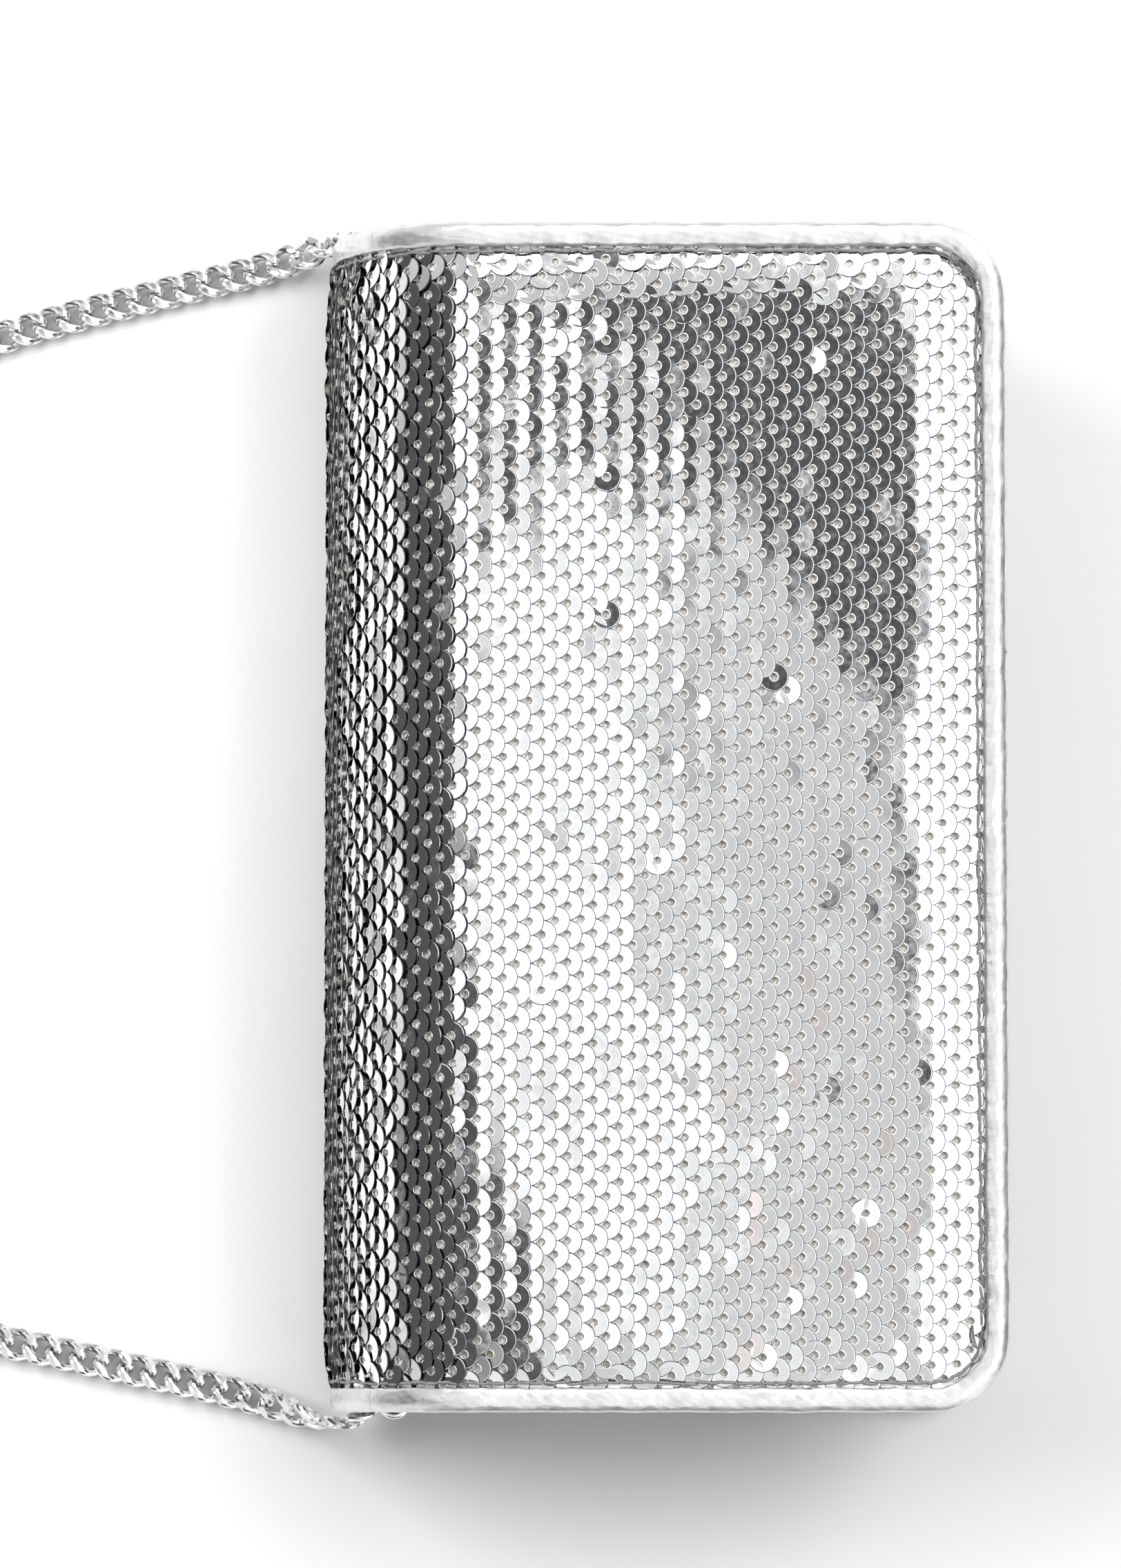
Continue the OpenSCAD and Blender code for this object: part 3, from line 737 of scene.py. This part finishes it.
def skin_layer(name, s_from, s_to, outer, inner, ripple):
    """A closed layer of cloth or foam between two depths below the sequins' middle surface."""
    step, across = 1.6, 70
    steps = max(4, int(abs(s_to - s_from) / step))
    s = np.linspace(s_from, s_to, steps + 1)
    if s_to > 0 and s_to > S_FLAP_END - 1:
        s = s_from + (s_to - s_from) * np.sin(np.linspace(0, math.pi / 2, steps + 1)) ** 0.9
    v = np.linspace(-1, 1, across + 1)
    half = half_width(np.clip(s, S_BACK_END + 0.02, S_FLAP_END - 0.02))
    ss, yy = np.broadcast_to(s[:, None], (len(s), across + 1)), half[:, None] * v[None, :]
    wave = ripple * smooth_noise(ss, yy, 11, 14)
    top, bottom = surface(ss, yy, outer + wave), surface(ss, yy, inner + wave)
    points = np.vstack([top.reshape(-1, 3), bottom.reshape(-1, 3)])
    return mesh_object(name, points, shell_faces(*ss.shape), crisp=50)


def make_layers():
    """Backing cloth, foam and lining: on the flap, over the crown, round the heel and on the back."""
    cloth, back_cloth, pad, inside = (0.55, 0.7, 0.0), (0.4, 0.6, 0.0), (0.74, 2.1, 0.0), (3.8, 4.5, 0.06)
    flap_end = S_FLAP_END - 0.05
    for word, layer, material, skins in (
            ("cloth", cloth, backing, ("flap_skin", "fold_skin", "back_skin")),
            ("padding", pad, foam, ("flap_foam", "fold_foam", "heel_foam")),
            ("lining", inside, satin, ("flap_lining", "fold_lining", "heel_lining"))):
        heel_start = S_BACK + 1 if layer is inside else S_BACK
        strips = (("flap", BLEND, flap_end, "flap"), ("fold", S_MID, BLEND, "crown"),
                  ("heel", heel_start, S_MID, "heel"))
        for (part, start, end, where), node in zip(strips, skins):
            piece = dress(skin_layer(f"{word}_{part}", start, end, *layer), material, where, (node,))
    dress(skin_layer("cloth_back", S_BACK_END + 0.05, S_BACK, *back_cloth), backing, "bag")


make_layers()

# ---- piping ----


LINE_STEP = 0.5


def edge_line(x0, x1, half, bend, z, step=LINE_STEP, corner_points=24):
    """A line from x0 along +Y's end, round the free edge and back along -Y's end."""
    arc = np.linspace(0, math.pi / 2, corner_points)
    points = [(x0, half, z)]
    points += [(x1 - bend + bend * math.sin(a), half - bend + bend * math.cos(a), z) for a in arc]
    points += [(x1 - bend + bend * math.cos(a), -half + bend - bend * math.sin(a), z) for a in arc]
    points += [(x0, -half, z)]
    return resample(np.array(points), step)


def fold_line(side, s_from, s_to):
    """Centre line of the piping round the fold at one end, between two lengths of the skin."""
    s = np.linspace(s_from, s_to, 60)
    x, z, nx, nz = profile(s)
    share = np.clip((s - S_BACK) / L_HEEL, 0, 1)
    depth = PIPE_R - DISC_IN + 0.5 * share
    y = BACK_PIPE_Y + (PIPE_Y - BACK_PIPE_Y) * share * share * (3 - 2 * share)
    return resample(np.stack([x - nx * depth, side * y, z - nz * depth], 1), LINE_STEP)


def pipe_section(angle):
    """Leather over a cord, for a radius of 1: a steep outer side, a soft crown, a shelf towards the seam."""
    wall_end, crown_end, shelf_end = np.radians((40, 90, 158))
    lean = math.pi / 4 * (crown_end - angle) / (crown_end - wall_end)
    t = (angle - crown_end) / (shelf_end - crown_end)
    end = np.clip((angle - shelf_end) / (math.pi - shelf_end), 0, 1)
    wall, crown, shelf = angle < wall_end, angle < crown_end, angle < shelf_end
    shelf_x = np.where(shelf, -1.04 * t, -1.04 + 0.04 * end)
    shelf_z = np.where(shelf, 1 - 0.2 * t * t, 0.8 - 0.8 * end)
    x = np.where(wall, 1, np.where(crown, 1.414 * np.sin(lean), shelf_x))
    z = np.where(wall, 0.586 * angle / wall_end, np.where(crown, 1 - 1.414 * (1 - np.cos(lean)), shelf_z))
    under = angle > math.pi
    return np.where(under, np.cos(angle), x), np.where(under, np.sin(angle), z)


def pipe(name, line, r, out_hint, where, replaces=(), marks=None, flip=1, seed=21):
    """Leather rolled over a cord, with creases, puckers at the stitches and a slack, uneven line.

    marks are the lengths that the creases run on, so that they carry on from piece to piece.
    """
    sides, pucker, pucker_pitch, slack = 36, 0.03, 3.1, 0.06
    along = unit(np.gradient(line, axis=0))
    hint = out_hint(line)
    out = unit(hint - along * np.sum(hint * along, 1, keepdims=True))
    side = np.cross(along, out)
    if marks is None:
        marks = lengths_along(line)
    angle = circle(sides)
    m, a = np.broadcast_arrays(marks[:, None], angle[None, :])
    up, away = flip * np.sin(a) * r * 2, np.cos(a) * r * 2
    swell = (0.05 * smooth_noise(m + 0.7 * away, up, seed, 17)
             + 0.055 * smooth_noise(m + 0.5 * away, up + away, seed + 1, 5.5)
             + 0.03 * smooth_noise(m, up - away, seed + 2, 2.2))
    at = lengths_along(line)
    swell = swell * np.clip(np.minimum(at, at[-1] - at) / 2.5, 0, 1)[:, None] ** 2
    inner = np.clip(-np.cos(a), 0, 1) ** 2
    stitches = np.sin(m * 2 * math.pi / pucker_pitch + 0.6 * np.sin(m * 0.37))
    radius = r - slack + swell + pucker * inner * stitches
    x, z = pipe_section(angle if flip > 0 else (2 * math.pi - angle) % (2 * math.pi))
    points = (line[:, None] + out[:, None] * (radius * x)[..., None]
              + side[:, None] * (radius * z * flip)[..., None])
    ends = np.vstack([line[0], line[-1]])
    count, last, k = len(line) * sides, (len(line) - 1) * sides, np.arange(sides)
    after = (k + 1) % sides
    first_cap = np.stack([k, after, np.full(sides, count)], -1)
    last_cap = np.stack([last + after, last + k, np.full(sides, count + 1)], -1)
    walls = tube_faces(len(line), sides)
    faces = np.vstack([walls[:, [0, 1, 2]], walls[:, [0, 2, 3]], first_cap, last_cap])
    piece = mesh_object(name, np.vstack([points.reshape(-1, 3), ends]), faces[:, ::-1], crisp=60)
    dress(piece, leather, where, replaces)


def outward(line):
    """Away from the bag's middle, in plan."""
    x, y, z = line.T
    past_x, past_y = np.maximum(x - (PIPE_X - PIPE_BEND), 0), np.maximum(np.abs(y) - (PIPE_Y - PIPE_BEND), 0)
    return np.stack([past_x, np.sign(y) * past_y, 0 * z], 1) + 1e-6


def sideways(line):
    """Away from the bag's middle, along its length."""
    return np.stack([0 * line[:, 0], np.sign(line[:, 1]), 0 * line[:, 2]], 1)


def both_ways(line, start):
    """Lengths along a loop, counted from both of its ends towards its middle."""
    marks = lengths_along(line)
    return start + np.minimum(marks, marks[-1] - marks)


def make_piping():
    """The piping of the flap, the back and the front, and four pieces that bend round the fold's ends."""
    flap = edge_line(FOLD_X + BLEND, PIPE_X, PIPE_Y, PIPE_BEND, PIPE_Z)
    pipe("piping_flap", flap, PIPE_R, outward, "flap", ("flap_piping",), both_ways(flap, BLEND))
    back = edge_line(HEEL_X, BACK_PIPE_X, BACK_PIPE_Y, PIPE_BEND, PIPE_R)
    marks = both_ways(back, 0) + S_BACK - 2 * lengths_along(back)[-1]
    pipe("piping_back", back, PIPE_R, outward, "bag", ("back_piping",), marks)
    for side, word in ((1, "right"), (-1, "left")):
        top = np.vstack([fold_line(side, S_MID, 0), [(FOLD_X + BLEND, side * PIPE_Y, PIPE_Z)]])
        top = resample(top, LINE_STEP)
        marks = np.linspace(S_MID, BLEND, len(top))
        pipe(f"piping_fold_{word}", top, PIPE_R, sideways, "crown", ("fold_piping",), marks, side)
        low = fold_line(side, S_BACK, S_MID)
        marks = np.linspace(S_BACK, S_MID, len(low))
        pipe(f"piping_heel_{word}", low, PIPE_R, sideways, "heel", (), marks, side)
    r = 1.5
    front = edge_line(panel_low[0], front_pipe_high[0] - r, front_pipe_high[1] - r, 11.5, panel_high[2] - r)
    pipe("piping_front", front, r, outward, "bag", ("front_piping",), seed=61)


make_piping()

# ---- seam threads ----


def stitch_row(name, centre, normal, length, gap, r, where, material, stray=0.0):
    """A row of short threads along a line, each one dipping in at both ends and straying a little."""
    draw = np.random.default_rng(57)
    marks = lengths_along(centre)
    count = int(marks[-1] / (length + gap))
    sides, rings, rise, dip = 6, 7, 0.16, 0.06
    shape = np.sin(np.linspace(0, math.pi, rings))
    angle = circle(sides)
    points = []
    for i in range(count):
        at = (i + 0.5) * marks[-1] / count + np.linspace(-length / 2, length / 2, rings)
        line, up = at_marks(at, marks, centre), unit(at_marks(at, marks, normal))
        aside = unit(np.cross(np.gradient(line, axis=0), up))
        lean = np.linspace(draw.normal(0, stray), draw.normal(0, stray), rings)
        line = line + up * (shape * rise - dip)[:, None] + aside * lean[:, None]
        side = np.cross(unit(np.gradient(line, axis=0)), up)
        points.append(rings_round(line, side, up, angle, r * (0.55 + 0.45 * shape ** 0.5)).reshape(-1, 3))
    faces = copies(tube_faces(rings, sides), count, rings * sides)
    piece = mesh_object(name, np.vstack(points), faces[:, ::-1])
    dress(piece, material, where)


def make_threads():
    """The rough row of threads just inside the piping, round the flap and the fold; their dark colour is
    partly the thread's own and partly painted shadow of the gap between piping and sequins.
    """
    inset, back_inset = 0.7, 0.4
    length, gap, radius, stray, above = 2.6, -0.5, 0.25, 0.16, 0.28
    arc = np.linspace(0, math.pi / 2, 16)
    r = EDGE_R - inset
    cs, cy = S_FLAP_END - EDGE_R, EDGE_Y - EDGE_R
    s = np.concatenate([[BLEND], cs + r * np.sin(arc), cs + r * np.cos(arc), [BLEND]])
    y = np.concatenate([[cy + r], cy + r * np.cos(arc), -cy - r * np.sin(arc), [-cy - r]])
    rows = [("seam_thread_flap", dense(s, y), "flap")]
    for side, word in ((1, "right"), (-1, "left")):
        end, back_end = side * (EDGE_Y - inset), side * (BACK_EDGE_Y - back_inset)
        rows.append((f"seam_thread_fold_{word}", dense((S_MID, BLEND), (end, end)), "crown"))
        rows.append((f"seam_thread_heel_{word}", dense((S_BACK, S_MID), (back_end, end)), "heel"))
    for name, line, where in rows:
        point, _, normal = surface_frame(line[:, 0], line[:, 1])
        stitch_row(name, point + normal * above, normal, length, gap, radius, where, seam_thread_and_shadow, stray)


def dense(s, y):
    """Even points along a line drawn on the skin."""
    at = np.concatenate([[0], np.cumsum(np.hypot(np.diff(s), np.diff(y)))])
    marks = np.linspace(0, at[-1], max(8, int(at[-1])))
    return at_marks(marks, at, np.stack([s, y], 1))


make_threads()

# ---- the body under the flap ----


def panel_mesh(name, x0, x1, half, r, z0, z1, crown, seed):
    """A crowned leather or cloth panel with a soft edge."""
    rows, cols = 60, 91
    s = x0 + (x1 - x0) * np.sin(np.linspace(0, math.pi / 2, rows)) ** 0.95
    v = np.linspace(-1, 1, cols)
    over = np.clip(s - (x1 - r), 0, r - 0.001)
    reach = half - r + np.sqrt(r ** 2 - over ** 2)
    xx, yy = np.broadcast_to(s[:, None], (rows, cols)), reach[:, None] * v[None, :]
    edge = np.minimum(reach[:, None] - np.abs(yy), x1 - xx)
    bulge = crown * (1 - np.exp(-np.clip(edge, 0, None) / 7)) + 0.08 * smooth_noise(xx, yy, seed, 22)
    top = np.stack([xx, yy, z1 - crown + bulge - 0.35 * np.exp(-edge / 0.8)], -1)
    bottom = np.stack([xx, yy, np.full_like(xx, z0)], -1)
    points = np.vstack([top.reshape(-1, 3), bottom.reshape(-1, 3)])
    return mesh_object(name, points, shell_faces(rows, cols), crisp=50)


def band_mesh(name, x0, x1, half, r, thick, low, high, fold_in, seed):
    """A strip standing round three sides, folded inwards along its middle, with its mouth cut slanting."""
    line = edge_line(x0, x1, half, r, 0, 1.5, 20)[:, :2]
    along = unit(np.gradient(line, axis=0))
    out = np.stack([-along[:, 1], along[:, 0]], 1)
    levels = np.linspace(0, 1, 17)
    mouth, lowest = panel_low[0], 9
    share = np.clip((line[:, 0] - x0) / (mouth - x0), 0, 1)
    top = np.where(line[:, 0] < mouth, lowest + (high - lowest) * share, high)
    z = low + (top - low)[:, None] * levels[None, :]
    marks = lengths_along(line)[:, None]
    pulled_in = fold_in * np.sin(math.pi * (z - low) / (high - low)) ** 2
    inward = np.clip(pulled_in + 0.1 * smooth_noise(marks, z, seed, 12), 0, None)
    walls = []
    for depth in (0, thick):
        xy = line[:, None] - out[:, None] * (inward + depth)[..., None]
        walls.append(np.dstack([xy, z]))
    points = np.vstack([wall.reshape(-1, 3) for wall in walls])
    return mesh_object(name, points, shell_faces(*z.shape)[:, ::-1], crisp=50)


def make_body():
    """Gusset, front panel, linings and pocket, from the CAD's own sizes."""
    x0, x1, half = gusset_low[0], gusset_high[0], gusset_high[1]
    low, high, r = gusset_low[2], gusset_high[2], 11.5
    wall, fold_in = 1.2, 1.6
    piece = band_mesh("gusset", x0, x1, half, r, 1.0, low, high, fold_in, 5)
    dress(piece, panel_leather, "bag", ("gusset_band",))
    piece = band_mesh("compartment_lining", x0, x1 - wall, half - wall, r - wall, 0.5, low + 0.1, high - 0.1,
                      fold_in, 6)
    dress(piece, satin, "bag", ("lining",))
    front = (panel_high[0], panel_high[1], 9.9, panel_low[2], panel_high[2] + 0.25)
    pocket_low, pocket_high = cad_mm("slip_pocket")
    pocket = (pocket_high[0], pocket_high[1], 6, pocket_low[2] + 0.02, pocket_high[2] + 0.3)
    for name, start, size, crown, seed, material, replaced in (
            ("lining_floor", HEEL_X, (x1 - 2, half - 2, r - 2, 2.7, 3.4), 0.1, 8, satin, ()),
            ("lining_roof", panel_low[0], (x1 - 2.2, half - 2.2, r - 2, 27.85, 28.35), 0.1, 9, satin, ()),
            ("leather_front", panel_low[0], front, 0.5, 12, panel_leather, ("front_panel",)),
            ("pocket", pocket_low[0], pocket, 0.35, 14, satin, ("slip_pocket",))):
        dress(panel_mesh(name, start, *size, crown, seed), material, "bag", replaced)
    make_binding()


def make_binding():
    """Leather folded over the front panel's edge at the mouth, with a row of stitches."""
    low, high = cad_mm("mouth_binding")
    thick, count = 0.5, 120
    edge_x, mid = low[0] + 0.9, (low[2] + high[2]) / 2
    half = (high[2] - low[2]) / 2
    turn = np.linspace(math.pi / 2, 3 * math.pi / 2, 13)
    round_edge = [(edge_x + half * 0.6 * math.cos(a) + 0.4, mid + half * math.sin(a)) for a in turn]
    within = [(edge_x + (half - thick) * 0.45 * math.cos(a) + 0.5, mid + (half - thick) * math.sin(a))
              for a in turn[::-1]]
    outer = [(high[0], high[2])] + round_edge + [(high[0], low[2])]
    inner = [(high[0], low[2] + thick)] + within + [(high[0], high[2] - thick)]
    section = np.array(outer + inner)
    rings = 140
    x, y = np.meshgrid(section[:, 0], np.linspace(-high[1], high[1], rings))
    wave = 0.05 * smooth_noise(y, x * 3, 19, 9)
    points = np.stack([x, y, section[:, 1] + wave], -1)
    piece = mesh_object("mouth_edge", points.reshape(-1, 3), tube_faces(rings, len(section)), crisp=50)
    dress(piece, panel_leather, "bag", ("mouth_binding",))
    line = np.stack([np.full(count, high[0] - 1), np.linspace(-high[1] + 2, high[1] - 2, count),
                     np.full(count, high[2] + 0.05)], 1)
    up = np.tile([0.0, 0.0, 1.0], (count, 1))
    stitch_row("mouth_stitches", line, up, 2.4, 0.8, 0.16, "bag", thread)


make_body()

# ---- CAD parts that stay, with their own materials ----


def dress_cad():
    """Materials for the CAD pieces that are shown as they are."""
    looks = {board: ("back_board", "front_board", "flap_board"),
             cord_cotton: ("back_piping_cord", "fold_piping_cord", "flap_piping_cord"),
             panel_leather: ("right_tab", "left_tab"),
             ring_metal: ("right_ring", "left_ring", "right_end_link", "left_end_link", "tab_rivets"),
             snap_metal: ("snap_socket", "snap_stud", "socket_washer", "stud_washer")}
    for material, names in looks.items():
        for name in names:
            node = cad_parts[name]
            node.data.materials.clear()
            node.data.materials.append(material)


dress_cad()

# ---- floor and light ----


def make_floor():
    """A wide sheet of pale paper, just below the bag."""
    size, z = 2500, -0.02
    corners = [(-size, -size, z), (size, -size, z), (size, size, z), (-size, size, z)]
    floor = mesh_object("floor", corners, [(0, 1, 2, 3)], smooth=False)
    look = Look("paper", Roughness=0.9, Specular_IOR_Level=0.15)
    look.colours(look.noise(14, 3), [(0.3, (0.51, 0.51, 0.51)), (0.7, (0.525, 0.525, 0.525))])
    floor.data.materials.append(look.material)


class Sky(Tree):
    """The studio round the bag, fixed in the room, as maths on a direction.

    x, y and z are the direction's own, and u and v are x and y where it meets a ceiling 1 above.
    """

    def __init__(self):
        world = bpy.data.worlds.new("studio")
        bpy.context.scene.world = world
        super().__init__(world)
        direction = self.node("TexCoord").outputs["Generated"]
        self.x, self.y, self.z = self.node("SeparateXYZ", Vector=direction).outputs
        height = self.maths("MAXIMUM", self.z, 0.02)
        self.u = self.maths("DIVIDE", self.x, height)
        self.v = self.maths("DIVIDE", self.y, height)

    def maths(self, operation, *values):
        """The result of one sum on sockets or numbers."""
        node = self.node("Math")
        node.operation = operation
        for socket, value in zip(node.inputs, values):
            self.feed(socket, value)
        return node.outputs[0]

    def step(self, value, low, high):
        """0 below low, 1 above high and smooth between."""
        node = self.node("MapRange", From_Min=low, From_Max=high, Value=value)
        node.interpolation_type = "SMOOTHSTEP"
        return node.outputs["Result"]

    def both(self, a, b):
        return self.maths("MULTIPLY", a, b)

    def either(self, a, b):
        return self.maths("MAXIMUM", a, b)

    def size_step(self, value, low, high):
        """As step, on either side of 0."""
        return self.step(self.maths("ABSOLUTE", value), low, high)

    def but(self, value):
        return self.maths("SUBTRACT", 1, value)

    def blend(self, share, a, b):
        """a where share is 0 and b where it is 1."""
        difference = self.maths("SUBTRACT", b, a)
        return self.maths("MULTIPLY_ADD", difference, share, a)

    def finish(self, level, strength):
        """Lights the room with the level, tinted a little cool."""
        red, green, blue = (self.both(level, tint) for tint in (0.985, 0.997, 1.0))
        mix = self.node("CombineColor", Red=red, Green=green, Blue=blue)
        self.fill(self.nodes["Background"], Color=mix.outputs["Color"], Strength=strength)


def make_sky():
    """A pale room with soft panels and dark flags overhead: what the sequins mirror."""
    sky = Sky()
    u, v, maths, step = sky.u, sky.v, sky.maths, sky.step
    blend, both, either = sky.blend, sky.both, sky.either
    dark, grey, bright = 0.085, 0.64, 1.4

    # the ceiling: a bright panel on the fold's side, grey over the middle of the flap
    white = blend(step(v, -0.06, -0.02), 0.9, bright)
    slant = maths("MULTIPLY_ADD", v, 0.1, u)
    level = blend(step(slant, -0.155, -0.135), white, grey)
    level = blend(step(v, 0.3, 0.42), level, 0.6)

    # dark flags: a wedge over the right end and a strip beside the bright panel of the free edge
    slant = maths("ADD", u, v)
    wedge = both(step(slant, 0.022, 0.05), sky.but(step(v, 0.36, 0.44)))
    strip = both(step(u, -0.05, -0.035), step(v, -0.05, 0.02))
    level = blend(either(wedge, strip), level, dark)
    edge = maths("MULTIPLY_ADD", either(v, 0.0), 0.07, u)
    level = blend(step(edge, -0.01, 0.01), level, bright)

    # the dark side that the fold mirrors, coming nearer towards the left end
    nearer = both(either(maths("SUBTRACT", 0.045, v), 0.0), 9.0)
    left = maths("ADD", u, maths("SUBTRACT", 0.88, maths("MINIMUM", nearer, 0.64)))
    level = blend(either(step(left, -0.12, 0.03), sky.size_step(sky.y, 0.3, 0.45)), dark, level)

    # the walls: dark beyond the free edge and the left end, dim beyond the right end, pale at the floor
    right = both(step(sky.x, 0.62, 0.75), sky.but(sky.size_step(sky.y, 0.45, 0.6)))
    level = blend(right, level, 0.05)
    aside = sky.size_step(sky.x, 0.35, 0.5)
    level = blend(either(step(sky.y, -0.8, -0.6), aside), 0.12, level)
    level = blend(both(step(sky.y, 0.6, 0.8), sky.but(aside)), level, 0.4)
    level = blend(step(sky.z, 0.05, 0.11), 0.9, level)
    sky.finish(level, 1.05)


def make_lamps():
    """A soft key beyond the right end and two fills, which don't show in the sequins."""
    for name, place, size, energy in (("key", (0.1, 1.5, 1.4), 1.2, 8),
                                      ("fill_left", (-0.9, 0.5, 0.9), 1.0, 24),
                                      ("fill_right", (0.9, 0.5, 0.9), 1.0, 20)):
        panel = bpy.data.lights.new(name, "AREA")
        panel.shape, panel.size, panel.size_y, panel.energy = "RECTANGLE", size, 0.8, energy
        lamp = bpy.data.objects.new(name, panel)
        lamp.location = place
        lamp.rotation_euler = Vector(place).to_track_quat("Z", "Y").to_euler()
        lamp.visible_glossy = name == "key"
        bpy.context.scene.collection.objects.link(lamp)


make_floor()
make_sky()
make_lamps()
bpy.context.scene.view_settings.view_transform = "Standard"
